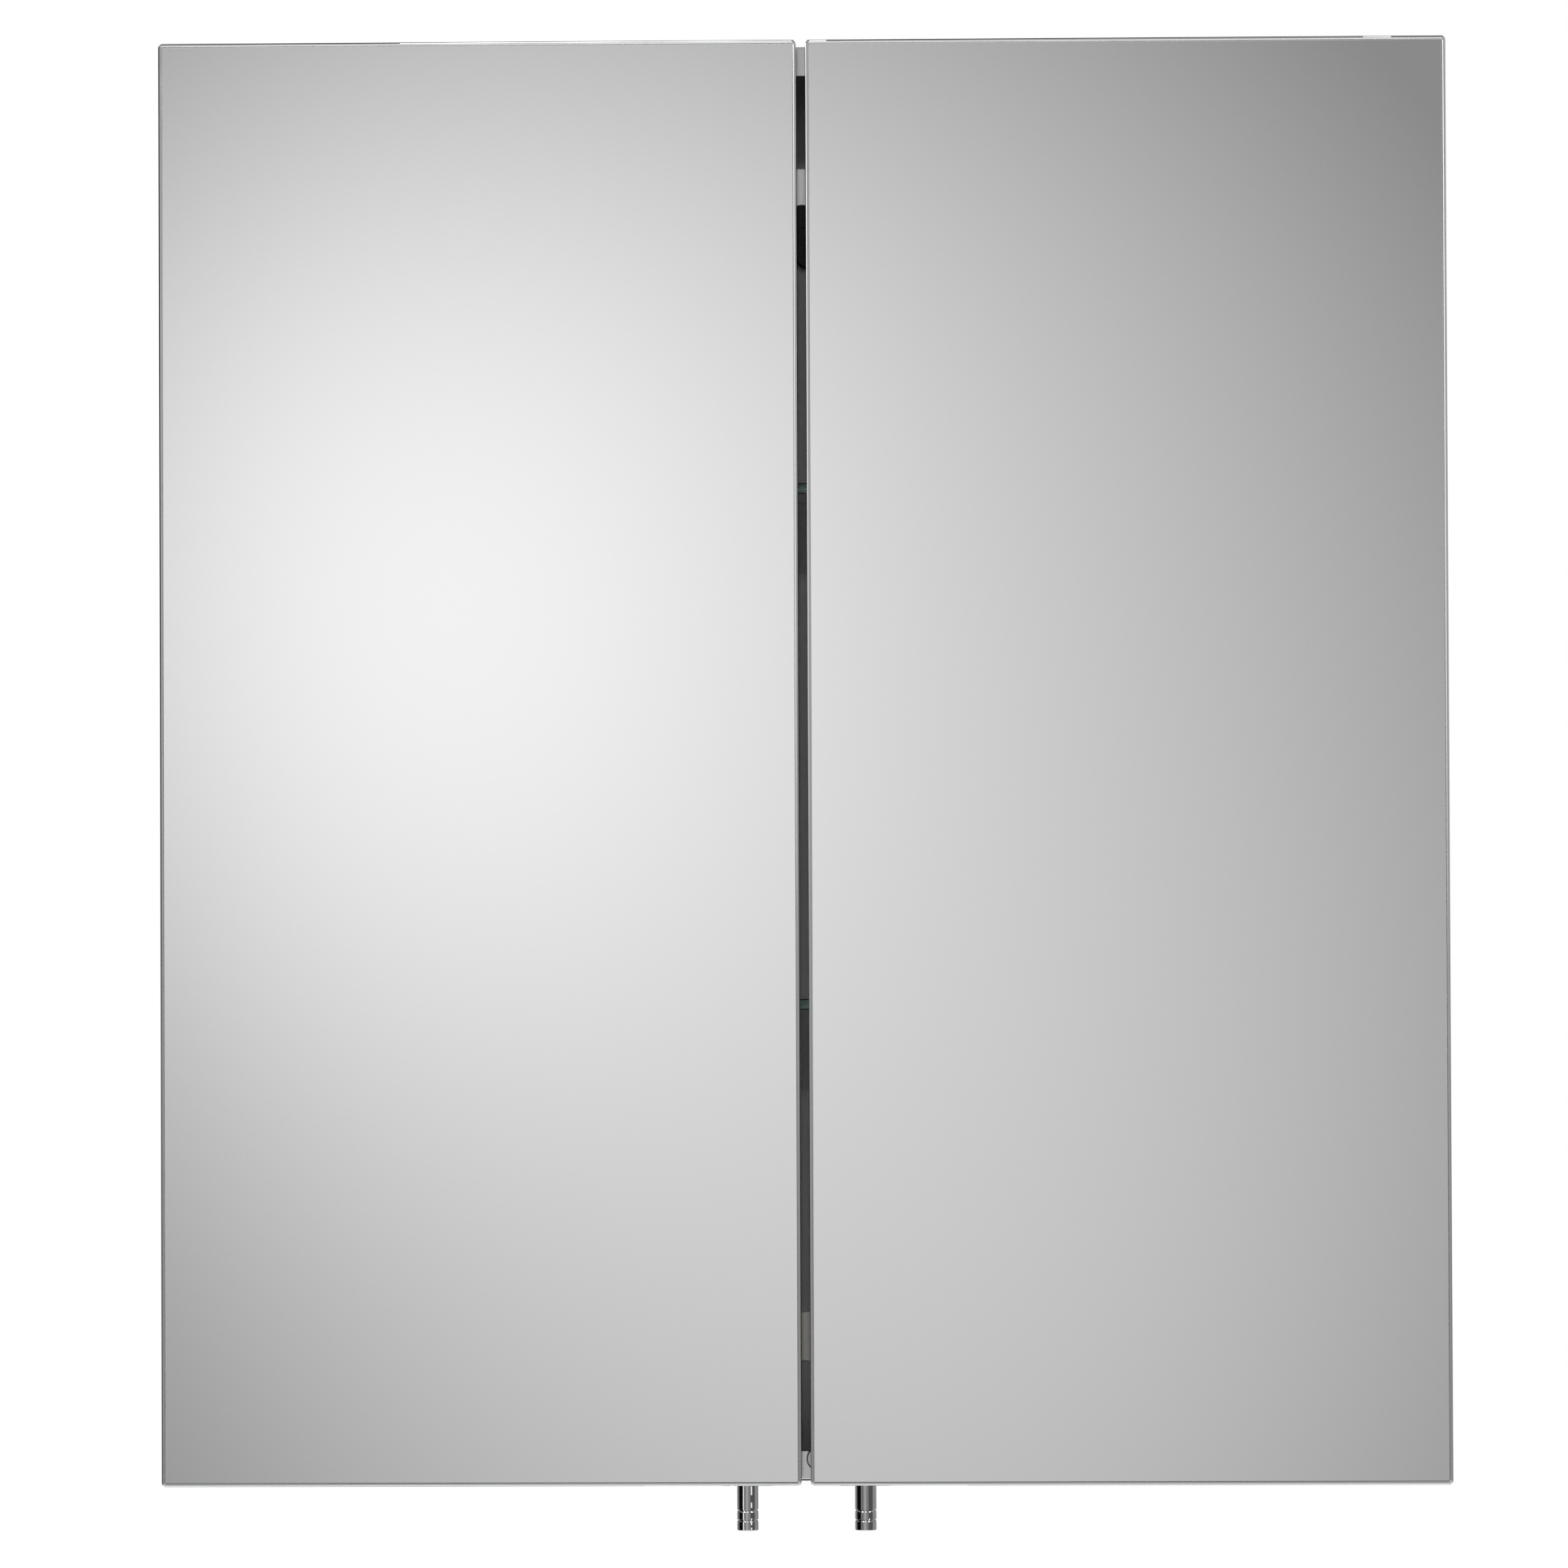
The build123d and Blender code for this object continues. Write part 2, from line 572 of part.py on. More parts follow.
with BuildPart() as liner_screws:
    add(
        turned(
            liner_screw_points,
            [
                (DOOR_REAR - LINER_SCREW_HEAD_T, DOOR_REAR, LINER_SCREW_HEAD_R),
                (DOOR_REAR, DOOR_REAR + LINER_SCREW_L, LINER_SCREW_R),
            ],
        )
    )
    with BuildSketch(Plane.XZ.offset(DOOR_REAR - LINER_SCREW_HEAD_T)):
        with Locations(*liner_screw_points):
            Rectangle(RECESS_L, RECESS_W)
            Rectangle(RECESS_W, RECESS_L)
    extrude(amount=RECESS_DEPTH, mode=Mode.SUBTRACT)
save_pair(liner_screws.part, "liner_screws")

# Stiffening channel between the front skin and the liner
skin_rear = PAN_FRONT - SHEET
with BuildPart() as door_stiffener:
    with BuildSketch(Plane.XY.offset(BOTTOM_Z + STIFFENER_END)):
        with Locations((DOOR_X, -(LINER_FRONT + skin_rear) / 2)):
            Rectangle(STIFFENER_W, skin_rear - LINER_FRONT)
        with Locations((DOOR_X, -(LINER_FRONT + skin_rear - SHEET) / 2)):
            Rectangle(STIFFENER_W - 2 * SHEET, skin_rear - LINER_FRONT - SHEET, mode=Mode.SUBTRACT)
    extrude(amount=HEIGHT - 2 * STIFFENER_END)
save_pair(door_stiffener.part, "door_stiffener")

# Mirror glass on strips of foam tape
mirror_w = DOOR_W - 2 * (HEM_W + HEM_FIT)
mirror_h = HEIGHT - 2 * (HEM_W + HEM_FIT)
with BuildPart() as mirror_tape:
    with BuildSketch(Plane.XZ.offset(PAN_FRONT)):
        with Locations((DOOR_X, MID_Z)):
            with GridLocations(mirror_w / TAPE_COUNT, 0, TAPE_COUNT, 1):
                Rectangle(TAPE_W, mirror_h - 2 * TAPE_END)
    extrude(amount=TAPE_T)
save_pair(mirror_tape.part, "mirror_tape")

with BuildPart() as mirror_glass:
    with BuildSketch(Plane.XZ.offset(MIRROR_REAR)):
        with Locations((DOOR_X, MID_Z)):
            RectangleRounded(mirror_w, mirror_h, MIRROR_CORNER_R)
    extrude(amount=MIRROR_T)
    chamfer(mirror_glass.faces().filter_by(Axis.Y).edges(), length=MIRROR_ARRIS)
save_pair(mirror_glass.part, "mirror_glass")

# Knob hanging under the door on a screw from inside the pan
knob_axis = Plane(origin=(KNOB_X, -KNOB_DEPTH, BOTTOM_Z), x_dir=(1, 0, 0), z_dir=(0, -1, 0))
with BuildPart() as knob:
    with BuildSketch(knob_axis):
        with BuildLine():
            Line((0, -KNOB_L), (0, 0))
            side_end = Line((0, 0), (KNOB_R, 0)) @ 1
            for height in GROOVE_HEIGHTS:
                groove_z = height - KNOB_L
                groove = Polyline(
                    side_end,
                    (KNOB_R, groove_z + GROOVE_W / 2),
                    (KNOB_R - GROOVE_DEPTH, groove_z),
                    (KNOB_R, groove_z - GROOVE_W / 2),
                )
                side_end = groove @ 1
            side = Line(side_end, (KNOB_R, KNOB_EDGE_R - KNOB_L))
            edge = RadiusArc(side @ 1, (KNOB_R - KNOB_EDGE_R, -KNOB_L), KNOB_EDGE_R)
            Line(edge @ 1, (0, -KNOB_L))
        make_face()
    revolve(axis=Axis((KNOB_X, -KNOB_DEPTH, BOTTOM_Z), (0, 0, 1)))
    with BuildSketch(Plane.XY.offset(BOTTOM_Z)):
        with Locations((KNOB_X, -KNOB_DEPTH)):
            Circle(KNOB_SCREW_R + KNOB_SCREW_FIT)
    extrude(amount=-(KNOB_SCREW_REACH + KNOB_SCREW_END_GAP), mode=Mode.SUBTRACT)
save_pair(knob.part, "knob")

washer_z = BOTTOM_Z + SHEET
with BuildPart() as knob_washer:
    with BuildSketch(Plane.XY.offset(washer_z)):
        with Locations((KNOB_X, -KNOB_DEPTH)):
            Circle(WASHER_R)
            Circle(KNOB_SCREW_R + KNOB_SCREW_FIT, mode=Mode.SUBTRACT)
    extrude(amount=WASHER_T)
save_pair(knob_washer.part, "knob_washer")

screw_head_z = washer_z + WASHER_T
with BuildPart() as knob_screw:
    with BuildSketch(Plane.XY.offset(BOTTOM_Z - KNOB_SCREW_REACH)):
        with Locations((KNOB_X, -KNOB_DEPTH)):
            Circle(KNOB_SCREW_R)
    extrude(amount=KNOB_SCREW_REACH + SHEET + WASHER_T)
    with BuildSketch(Plane.XY.offset(screw_head_z)):
        with Locations((KNOB_X, -KNOB_DEPTH)):
            Circle(KNOB_SCREW_HEAD_R)
    extrude(amount=KNOB_SCREW_HEAD_T)
    with BuildSketch(Plane.XY.offset(screw_head_z + KNOB_SCREW_HEAD_T)):
        with Locations((KNOB_X, -KNOB_DEPTH)):
            RegularPolygon(KNOB_SOCKET_R, 6)
    extrude(amount=-KNOB_SOCKET_DEPTH, mode=Mode.SUBTRACT)
save_pair(knob_screw.part, "knob_screw")

# Strike plates: the left door meets the upper magnet, the right door the lower one
strike_x = FREE_EDGE_X + STRIKE_EDGE_GAP + STRIKE_L / 2
for label, x, z in (
    ("strike_plate_left", -strike_x, upper_catch_point[1]),
    ("strike_plate_right", strike_x, lower_catch_point[1]),
):
    with BuildPart() as strike_plate:
        with BuildSketch(Plane.XZ.offset(DOOR_REAR - STRIKE_T)):
            with Locations((x, z)):
                RectangleRounded(STRIKE_L, STRIKE_W, STRIKE_R)
        extrude(amount=STRIKE_T)
    save(strike_plate.part, label)
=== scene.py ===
import math

import bpy
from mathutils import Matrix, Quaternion, Vector


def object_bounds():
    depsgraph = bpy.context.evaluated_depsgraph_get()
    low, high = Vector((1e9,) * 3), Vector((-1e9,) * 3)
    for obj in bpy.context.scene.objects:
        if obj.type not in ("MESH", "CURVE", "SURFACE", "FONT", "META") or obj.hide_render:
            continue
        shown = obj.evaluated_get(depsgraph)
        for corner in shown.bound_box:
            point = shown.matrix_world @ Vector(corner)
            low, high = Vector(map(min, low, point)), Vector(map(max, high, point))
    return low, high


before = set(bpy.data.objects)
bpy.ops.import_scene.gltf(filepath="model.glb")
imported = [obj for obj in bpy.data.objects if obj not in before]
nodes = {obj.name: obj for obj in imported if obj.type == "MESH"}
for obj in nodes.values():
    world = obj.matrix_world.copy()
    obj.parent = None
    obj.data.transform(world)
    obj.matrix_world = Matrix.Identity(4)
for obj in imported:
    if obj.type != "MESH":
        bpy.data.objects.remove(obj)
cad_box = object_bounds()

# Lengths are in metres and turns in degrees from straight ahead, right positive; brightness 1 is white

# Camera, fitted to the corners of the two doors
CAMERA_AT = Vector((0.0506, -3.0, -0.3060))
CAMERA_AIM = Vector((-0.0090, -0.12, -0.2654))
CAMERA_ROLL = math.radians(-0.234)
CAMERA_LENS = 142.19  # mm
SENSOR_WIDTH = 36.0  # mm

# White room
ROOM_WHITE = 1.0  # what the camera, metal and glass see of it
ROOM_FILL = 0.55  # what it gives to matt surfaces

# Front card: a curved, softly lit wall that the mirrors show
CARD_RADIUS = 5.0
CARD_REACH = 106.0  # to each side
CARD_LOW = -3.2
CARD_HIGH = 2.4
CARD_STEPS = 48
CARD_FADE = (16.0, 40.0)  # turns over which the card becomes an even grey
CARD_SIDES = (0.28, 0.62)  # that grey, at the lower and the upper end of its range
CARD_SIDES_RANGE = (-1.1, 0.7)
CARD_SWEEP = 0.75  # added low down, where the card turns into a bright floor
CARD_SWEEP_RANGE = (-2.5, -1.2)
CARD_TOP = 0.45  # the ceiling's grey, which the card takes on high up
CARD_TOP_RANGE = (0.9, 2.2)
CEILING_REAR = 0.5
CARD_BASE = -0.108  # the card's ground, to which the pools add
CARD_DIMMEST = 0.27
# Each soft pool of light on the card: brightness, centre x and z, width and height
CARD_POOLS = (
    (0.419, -0.666, 0.015, 0.574, 0.684),
    (0.708, -0.007, -0.616, 1.308, 1.594),
    (0.245, -0.437, 0.574, 1.151, 0.732),
)
# Soft glow on the card's left, which draws a bright line down the rims that face it
SIDE_GLOW = 2.4
SIDE_GLOW_TURN = -52.0
SIDE_GLOW_WIDTH = 12.0
SIDE_GLOW_RANGE = (-0.5, 0.2)  # heights over which it comes up

# Grey cards beside and behind the cabinet, which its sides show
REAR_FLAG_RADIUS = 1.5
REAR_FLAG_TURN = (86, 160)  # on the right, and mirrored on the left
REAR_FLAG_HEIGHTS = (-1.55, 0.33)
REAR_FLAG_LEVELS = (0.20, 0.50)
REAR_FLAG_LEVEL_RANGE = (-1.2, 0.2)

# Brightness of the small cards
CARD_LEVELS = {
    "black_flag": 0.01,
    "dim_flag": 0.08,
    "bright_card": 1.4,
    "groove_glint": 4.0,
    "rim_card": 3.5,
}

# Small cards close round each knob, which give it its bands: start and end turn, and brightness
KNOB_CARD_RADIUS = 0.012
KNOB_CARD_DROP = 0.027
KNOB_CARD_AIR = 0.0015  # between their upper end and the door
KNOB_CARD_STEPS = 8
KNOB_CARDS = (
    (-117, -86, 0.20),
    (-86, -41.3, 0.004),
    (-33.5, -17.5, 0.17),
    (-17.5, 5, 0.38),
    (5, 24.5, 0.23),
    (24.5, 66.5, 0.09),
    (66.5, 117, 0.28),
)
KNOB_STREAK_TURN = (-41, -33.5)
KNOB_STREAK = {"left": 1.3, "right": 0.22}
# Glints down each knob, start and end below its top, on cards just inside the others
KNOB_GLINT_TURN = (28.5, 36.5)
KNOB_GLINTS = {
    "left": ((0.0, 0.0041), (0.0076, 0.0101), (0.0150, 0.0181), (0.0193, 0.0205)),
    "right": ((0.0152, 0.0167),),
}
KNOB_GLINT_GAP = 0.001
# Glints in the grooves, from level cards under the door: left and right end, and depth, from the axis
GROOVE_GLINTS = ((-0.0076, -0.0046), (-0.001, 0.001), (0.0062, 0.0095))
GROOVE_GLINT_DEPTH = (-0.0085, -0.0025)
GROOVE_GLINT_AIR = 0.0002

# Thin cards close to the rims of the doors
# Each reach is measured forward from the door's front, and each back rearward
RIM_AIR = 0.0015
RIM_FLAG_BACK = 0.002
TOP_FLAG_REACH = 0.0014
SIDE_FLAG_REACH = 0.004
BOTTOM_FLAG_BACK = 0.0005  # where the card under the rim starts
BOTTOM_FLAG_CLEAR = 0.075  # its distance from the middle, clear of the knobs
# Bright cards over the top rims: left and right end
RIM_CARDS = ((-0.187, -0.004), (0.004, 0.012), (0.262, 0.275))
RIM_CARD_RISE = 0.0012
RIM_CARD_REACH = (0.005, 0.0012)
# Black card at the foot of the gap between the doors, measured from the cabinet's front edge
GAP_FLAG_HALF = 0.0035
GAP_FLAG_REACH = 0.0026
GAP_FLAG_BACK = 0.0044

# Lamps: place, size and level, the share of a plain white that each gives to a surface facing it
LAMPS = {
    "key_lamp": ((-1.6, -2.6, 2.2), 1.6, 0.40),
    "front_lamp": ((0.05, -3.0, 1.2), 0.15, 0.66),
    "rear_lamp": ((1.4, 2.6, 1.4), 1.6, 0.35),
}

FLOOR_Z = -1.6
FLOOR_RADIUS = 3.2
FLOOR_SIDES = 96
FLOOR_FADE = (1.6, 3.1)

FACING_LIMIT = 0.9  # a face counts as square to an axis above this
CELL_SPREAD = 3.0  # spreads the greys of the cells over the whole range


def link(tree, source, target):
    """Join an output socket to an input socket."""
    tree.links.new(source, target)


def add_node(tree, kind, inputs=None, **settings):
    """Make a shader node with its settings and input values."""
    made = tree.nodes.new(kind)
    for name, value in settings.items():
        setattr(made, name, value)
    for name, value in (inputs or {}).items():
        made.inputs[name].default_value = value
    return made


def math_node(tree, operation, first, second=0.0):
    """One arithmetic step; each operand is a socket or a number."""
    made = tree.nodes.new("ShaderNodeMath")
    made.operation = operation
    for slot, operand in zip(made.inputs, (first, second)):
        if isinstance(operand, bpy.types.NodeSocket):
            link(tree, operand, slot)
        else:
            slot.default_value = operand
    return made.outputs[0]


def blend(tree, factor, first, second):
    """Value between two values, each a socket or a number."""
    rest = math_node(tree, "MULTIPLY", first, math_node(tree, "SUBTRACT", 1.0, factor))
    return math_node(tree, "ADD", rest, math_node(tree, "MULTIPLY", second, factor))


def bell(tree, square):
    """Bell curve over a squared distance, 1 in the middle."""
    return math_node(tree, "EXPONENT", math_node(tree, "MULTIPLY", square, -1.0))


def remap(tree, value, low, high, start=0.0, end=1.0):
    """Carry a value from start..end to low..high, held at both ends."""
    made = add_node(
        tree,
        "ShaderNodeMapRange",
        {"From Min": start, "From Max": end, "To Min": low, "To Max": high},
        interpolation_type="SMOOTHSTEP",
    )
    link(tree, value, made.inputs["Value"])
    return made.outputs["Result"]


def object_position(tree):
    """Position on the piece in its own frame."""
    return tree.nodes.new("ShaderNodeTexCoord").outputs["Object"]


def components(tree, vector):
    """The X, Y and Z of a vector."""
    made = tree.nodes.new("ShaderNodeSeparateXYZ")
    link(tree, vector, made.inputs["Vector"])
    return made.outputs


def facing(tree, axis):
    """How far the surface faces along one of the piece's own axes, from -1 to 1."""
    normal = tree.nodes.new("ShaderNodeTexCoord").outputs["Normal"]
    return components(tree, normal)[axis]


def noise(tree, scale, stretch=(1, 1, 1), detail=3.0, roughness=0.55):
    """Noise with so many features a metre, drawn out along an axis where its stretch is small."""
    mapping = add_node(tree, "ShaderNodeMapping", {"Scale": stretch})
    link(tree, object_position(tree), mapping.inputs["Vector"])
    made = add_node(
        tree, "ShaderNodeTexNoise", {"Scale": scale, "Detail": detail, "Roughness": roughness}
    )
    link(tree, mapping.outputs["Vector"], made.inputs["Vector"])
    return made.outputs["Fac"]


def cells(tree, scale):
    """Irregular cells, so many a metre, each with its own grey."""
    made = add_node(tree, "ShaderNodeTexVoronoi", {"Scale": scale})
    link(tree, object_position(tree), made.inputs["Vector"])
    return math_node(tree, "FRACT", math_node(tree, "MULTIPLY", made.outputs["Color"], CELL_SPREAD))


def colour_mix(tree, factor, first, second):
    """Colour between two colours or colour sockets."""
    made = add_node(tree, "ShaderNodeMix", data_type="RGBA")
    link(tree, factor, made.inputs["Factor"])
    for slot, colour in ((made.inputs["A"], first), (made.inputs["B"], second)):
        if isinstance(colour, bpy.types.NodeSocket):
            link(tree, colour, slot)
        else:
            slot.default_value = (*colour, 1)
    return made.outputs["Result"]


def bump(tree, shader, height, strength, distance):
    """Raise the surface by a height pattern."""
    made = add_node(tree, "ShaderNodeBump", {"Strength": strength, "Distance": distance})
    link(tree, height, made.inputs["Height"])
    link(tree, made.outputs["Normal"], shader.inputs["Normal"])


def surface(name, **values):
    """A new material with a Principled shader; values are its constant inputs."""
    made = bpy.data.materials.new(name)
    made.use_nodes = True
    shader = made.node_tree.nodes["Principled BSDF"]
    for key, value in values.items():
        shader.inputs[key.replace("_", " ")].default_value = value
    return made, made.node_tree, shader


def vary(tree, shader, pattern, dark, light, rough_low, rough_high):
    """Let a pattern carry the colour between two tones and the roughness between two values."""
    link(tree, colour_mix(tree, pattern, dark, light), shader.inputs["Base Color"])
    link(tree, remap(tree, pattern, rough_low, rough_high), shader.inputs["Roughness"])


def polished_stainless():
    """Bright sheet with faint wipe marks and polishing lines along its length."""
    made, tree, shader = surface("polished_steel", Metallic=1.0)
    wipes = noise(tree, 9.0, (1, 1, 0.4), detail=5.0, roughness=0.65)
    vary(tree, shader, wipes, (0.66, 0.665, 0.68), (0.74, 0.74, 0.745), 0.07, 0.15)
    bump(tree, shader, noise(tree, 900.0, (1, 1, 0.012)), 0.05, 0.0002)
    return made


def satin_stainless():
    """Brushed sheet: fine upright grain over slow changes of tone."""
    made, tree, shader = surface("satin_steel", Metallic=0.9)
    grain = noise(tree, 1600.0, (1, 1, 0.008), detail=2.0)
    cloud = noise(tree, 7.0, detail=4.0)
    tone = blend(tree, 0.4, grain, cloud)
    vary(tree, shader, tone, (0.50, 0.505, 0.51), (0.66, 0.66, 0.655), 0.26, 0.40)
    bump(tree, shader, grain, 0.12, 0.0002)
    return made


def hinge_steel():
    """Drawn stainless of the hinges, with fine lines along the pin."""
    made, tree, shader = surface("hinge_steel", Metallic=1.0)
    lines = noise(tree, 2600.0, (1, 1, 0.02), detail=2.0)
    vary(tree, shader, lines, (0.52, 0.525, 0.53), (0.67, 0.67, 0.67), 0.18, 0.30)
    bump(tree, shader, lines, 0.1, 0.0001)
    return made


def chrome():
    """Plated knob, bright and clean, with the slightest haze."""
    made, tree, shader = surface("chrome", Metallic=1.0)
    haze = noise(tree, 160.0, detail=4.0)
    vary(tree, shader, haze, (0.80, 0.805, 0.815), (0.86, 0.865, 0.875), 0.008, 0.03)
    return made


def zinc_steel():
    """Zinc-plated hardware with a mottled bluish skin."""
    made, tree, shader = surface("zinc_plate", Metallic=1.0)
    spangle = cells(tree, 700.0)
    vary(tree, shader, spangle, (0.50, 0.52, 0.55), (0.64, 0.655, 0.67), 0.24, 0.42)
    bump(tree, shader, noise(tree, 1800.0), 0.08, 0.0001)
    return made


def magnet():
    """Nickel-plated magnet, warm and lightly scuffed."""
    made, tree, shader = surface("nickel_plate", Metallic=1.0)
    scuffs = noise(tree, 1300.0, (1, 1, 0.25), detail=5.0)
    vary(tree, shader, scuffs, (0.56, 0.535, 0.50), (0.70, 0.68, 0.645), 0.16, 0.34)
    bump(tree, shader, scuffs, 0.08, 0.0001)
    return made


def moulded(name, dark, light, rough):
    """Moulded nylon with a fine sparked grain and faint flow marks."""
    made, tree, shader = surface(name, IOR=1.5)
    flow = noise(tree, 45.0, detail=5.0, roughness=0.6)
    vary(tree, shader, flow, dark, light, rough - 0.06, rough + 0.08)
    bump(tree, shader, noise(tree, 3200.0, detail=2.0), 0.18, 0.0002)
    return made


def clear_silicone():
    """Soft clear bumpers and pads, a little cloudy inside."""
    made, tree, shader = surface("clear_silicone", IOR=1.41, Transmission_Weight=0.82)
    cloud = noise(tree, 260.0, detail=4.0)
    vary(tree, shader, cloud, (0.86, 0.885, 0.875), (0.95, 0.96, 0.95), 0.14, 0.30)
    bump(tree, shader, noise(tree, 1500.0), 0.06, 0.0002)
    return made


def foam_tape():
    """Closed-cell foam tape."""
    made, tree, shader = surface("foam_tape", IOR=1.45)
    pores = cells(tree, 2400.0)
    vary(tree, shader, pores, (0.58, 0.58, 0.565), (0.74, 0.74, 0.725), 0.85, 0.98)
    bump(tree, shader, pores, 0.5, 0.0003)
    return made


def mirror():
    """Silvered glass: a mirror in front, ground green edges all round and grey paint behind."""
    made, tree, shader = surface("silvered_glass", IOR=1.52)
    depth_facing = facing(tree, "Y")
    silver = math_node(tree, "LESS_THAN", depth_facing, -FACING_LIMIT)
    rear = math_node(tree, "GREATER_THAN", depth_facing, FACING_LIMIT)
    grind = noise(tree, 1400.0)
    edge = colour_mix(tree, grind, (0.40, 0.425, 0.415), (0.50, 0.525, 0.515))
    paint = colour_mix(tree, noise(tree, 120.0), (0.20, 0.205, 0.215), (0.27, 0.275, 0.285))
    silvering = colour_mix(tree, noise(tree, 3.0), (0.937, 0.937, 0.937), (0.943, 0.943, 0.943))
    colour = colour_mix(tree, rear, edge, paint)
    link(tree, colour_mix(tree, silver, colour, silvering), shader.inputs["Base Color"])
    link(tree, silver, shader.inputs["Metallic"])
    edge_rough = remap(tree, grind, 0.18, 0.38)
    rear_rough = math_node(tree, "MAXIMUM", edge_rough, math_node(tree, "MULTIPLY", rear, 0.6))
    film = remap(tree, noise(tree, 14.0, detail=5.0), 0.012, 0.03)
    link(tree, blend(tree, silver, rear_rough, film), shader.inputs["Roughness"])
    return made


def shelf_glass():
    """Clear float glass that turns green along its ground edges."""
    made, tree, shader = surface("float_glass", IOR=1.52, Transmission_Weight=1.0)
    shader.inputs["Base Color"].default_value = (0.975, 0.99, 0.985, 1)
    level = math_node(tree, "ABSOLUTE", facing(tree, "Z"))
    flat = math_node(tree, "GREATER_THAN", level, FACING_LIMIT)
    ground = remap(tree, noise(tree, 900.0, detail=4.0), 0.10, 0.22)
    wipe = remap(tree, noise(tree, 12.0, detail=4.0), 0.0, 0.015)
    link(tree, blend(tree, flat, ground, wipe), shader.inputs["Roughness"])
    tint = add_node(
        tree, "ShaderNodeVolumeAbsorption", {"Color": (0.60, 0.90, 0.83, 1), "Density": 14.0}
    )
    link(tree, tint.outputs["Volume"], tree.nodes["Material Output"].inputs["Volume"])
    return made


def finish_nodes():
    """Give every CAD node its finish, chosen by its material slot."""
    finishes = {
        "polished_stainless": polished_stainless(),
        "satin_stainless": satin_stainless(),
        "hinge_steel": hinge_steel(),
        "mirror": mirror(),
        "shelf_glass": shelf_glass(),
        "chrome": chrome(),
        "zinc_steel": zinc_steel(),
        "magnet": magnet(),
        "black_nylon": moulded("black_nylon", (0.010, 0.010, 0.011), (0.017, 0.017, 0.018), 0.42),
        "grey_nylon": moulded("grey_nylon", (0.66, 0.655, 0.64), (0.72, 0.715, 0.70), 0.5),
        "warm_grey_nylon": moulded("warm_grey_nylon", (0.34, 0.325, 0.305), (0.39, 0.37, 0.35), 0.5),
        "clear_silicone": clear_silicone(),
        "foam_tape": foam_tape(),
    }
    for piece in nodes.values():
        for slot in piece.material_slots:
            slot.material = finishes[slot.material.name]


def see_through(tree, factor):
    """Let a surface turn clear as the factor goes to 1."""
    shown = tree.nodes["Material Output"].inputs["Surface"]
    solid = shown.links[0].from_socket
    choice = tree.nodes.new("ShaderNodeMixShader")
    link(tree, factor, choice.inputs["Fac"])
    link(tree, solid, choice.inputs[1])
    link(tree, tree.nodes.new("ShaderNodeBsdfTransparent").outputs["BSDF"], choice.inputs[2])
    link(tree, choice.outputs["Shader"], shown)


def rear_side(tree):
    """1 on the rear of a face and 0 on its front."""
    return tree.nodes.new("ShaderNodeNewGeometry").outputs["Backfacing"]


def card_material(name, strength):
    """Plain light-giving card of one brightness."""
    made = bpy.data.materials.new(name)
    made.use_nodes = True
    tree = made.node_tree
    tree.nodes.clear()
    glow = add_node(tree, "ShaderNodeEmission", {"Color": (1, 1, 1, 1), "Strength": strength})
    out = tree.nodes.new("ShaderNodeOutputMaterial")
    link(tree, glow.outputs["Emission"], out.inputs["Surface"])
    return made


def graded_card_material(name, low, high, start, end):
    """Light-giving card whose brightness rises with height, from low at start to high at end."""
    made = card_material(name, low)
    tree = made.node_tree
    height = components(tree, object_position(tree))["Z"]
    light = remap(tree, height, low, high, start, end)
    link(tree, light, tree.nodes["Emission"].inputs["Strength"])
    return made


def front_card_material():
    """Soft pools of light on a dim ground, an even grey far to the sides and a glow on the left."""
    made = card_material("front_card", 1.0)
    tree = made.node_tree
    place = object_position(tree)
    light = CARD_BASE
    for strength, x, z, width, height in CARD_POOLS:
        offset = add_node(tree, "ShaderNodeVectorMath", {1: (x, 0, z)}, operation="SUBTRACT")
        link(tree, place, offset.inputs[0])
        shape = add_node(
            tree, "ShaderNodeVectorMath", {1: (1 / width, 0, 1 / height)}, operation="MULTIPLY"
        )
        link(tree, offset.outputs[0], shape.inputs[0])
        square = add_node(tree, "ShaderNodeVectorMath", operation="DOT_PRODUCT")
        link(tree, shape.outputs[0], square.inputs[0])
        link(tree, shape.outputs[0], square.inputs[1])
        pool = math_node(tree, "MULTIPLY", bell(tree, square.outputs["Value"]), strength)
        light = math_node(tree, "ADD", pool, light)
    light = math_node(tree, "MAXIMUM", light, CARD_DIMMEST)

    parts = components(tree, place)
    ahead = math_node(tree, "DIVIDE", parts["Y"], -CARD_RADIUS)
    fade_end, fade_start = (math.cos(math.radians(turn)) for turn in reversed(CARD_FADE))
    fade = remap(tree, ahead, 1.0, 0.0, fade_end, fade_start)
    sides = remap(tree, parts["Z"], *CARD_SIDES, *CARD_SIDES_RANGE)
    light = blend(tree, fade, light, sides)
    sweep = remap(tree, parts["Z"], CARD_SWEEP, 0.0, *CARD_SWEEP_RANGE)
    light = math_node(tree, "ADD", light, sweep)

    turn = math_node(tree, "ARCTAN2", parts["X"], math_node(tree, "MULTIPLY", parts["Y"], -1.0))
    aside = math_node(tree, "SUBTRACT", turn, math.radians(SIDE_GLOW_TURN))
    aside = math_node(tree, "DIVIDE", aside, math.radians(SIDE_GLOW_WIDTH))
    fall = bell(tree, math_node(tree, "MULTIPLY", aside, aside))
    glow = remap(tree, parts["Z"], 0.0, SIDE_GLOW, *SIDE_GLOW_RANGE)
    light = math_node(tree, "ADD", light, math_node(tree, "MULTIPLY", glow, fall))

    high_up = remap(tree, parts["Z"], 0.0, 1.0, *CARD_TOP_RANGE)
    light = blend(tree, high_up, light, CARD_TOP)
    link(tree, light, tree.nodes["Emission"].inputs["Strength"])
    return made


